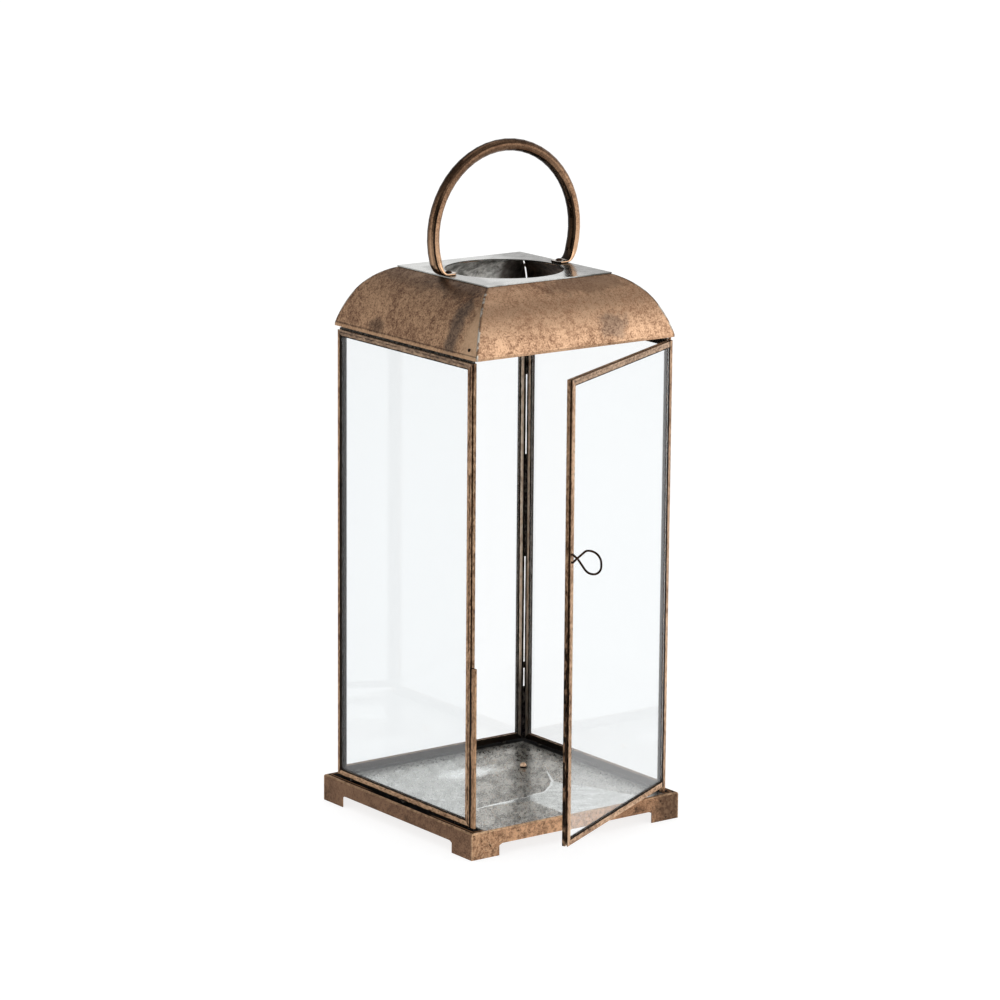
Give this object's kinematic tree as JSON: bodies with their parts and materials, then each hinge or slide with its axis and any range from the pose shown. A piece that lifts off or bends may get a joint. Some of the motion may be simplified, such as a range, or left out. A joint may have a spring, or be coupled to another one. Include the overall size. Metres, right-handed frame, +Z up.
{
  "type": "candle lantern",
  "caption": "Square glass candle lantern of folded copper sheet with a footed tray base, a hinged glazed door with wire pull, a curved vented roof and a ring handle.",
  "frame": {"origin": "on the ground, midway between the four feet, under the middle of the base", "axes": "+Z up; -Y out of the door's face; +X to the right as seen from in front, where the hinge is"},
  "size_m": [0.18, 0.2701, 0.4791],
  "materials": {
    "copper_sheet": "antique copper, satin with patina",
    "pane_glass": "clear float glass",
    "rivet_copper": "hammered copper",
    "solder": "dull soft solder"
  },
  "bodies": {
    "lantern": {"base_tray": "copper_sheet", "closing_strip": "copper_sheet", "hinge_rod": "copper_sheet", "hinge_collar": "copper_sheet", "left_front_stile": "copper_sheet", "left_back_stile": "copper_sheet", "left_top_rail": "copper_sheet", "left_bottom_rail": "copper_sheet", "back_left_stile": "copper_sheet", "back_right_stile": "copper_sheet", "back_top_rail": "copper_sheet", "back_bottom_rail": "copper_sheet", "right_front_stile": "copper_sheet", "right_back_stile": "copper_sheet", "right_top_rail": "copper_sheet", "right_bottom_rail": "copper_sheet", "roof_front": "copper_sheet", "roof_left": "copper_sheet", "roof_right": "copper_sheet", "roof_back": "copper_sheet", "top_plate": "copper_sheet", "handle": "copper_sheet", "left_glass": "pane_glass", "back_glass": "pane_glass", "right_glass": "pane_glass", "floor_rivet": "rivet_copper", "roof_rivets": "rivet_copper", "handle_rivets": "rivet_copper", "base_solder": "solder", "corner_solder": "solder", "roof_solder": "solder", "hip_solder": "solder"},
    "door": {"door_hinge_stile": "copper_sheet", "door_free_stile": "copper_sheet", "door_top_rail": "copper_sheet", "door_bottom_rail": "copper_sheet", "pull_loop": "copper_sheet", "door_glass": "pane_glass"}
  },
  "joints": [
    {"name": "door_hinge", "type": "hinge", "parent": "lantern", "child": "door", "pos_m": [0.0819, -0.0819, 0.0232], "axis": [0, 0, 1], "range_deg": [-28, 150]}
  ]
}
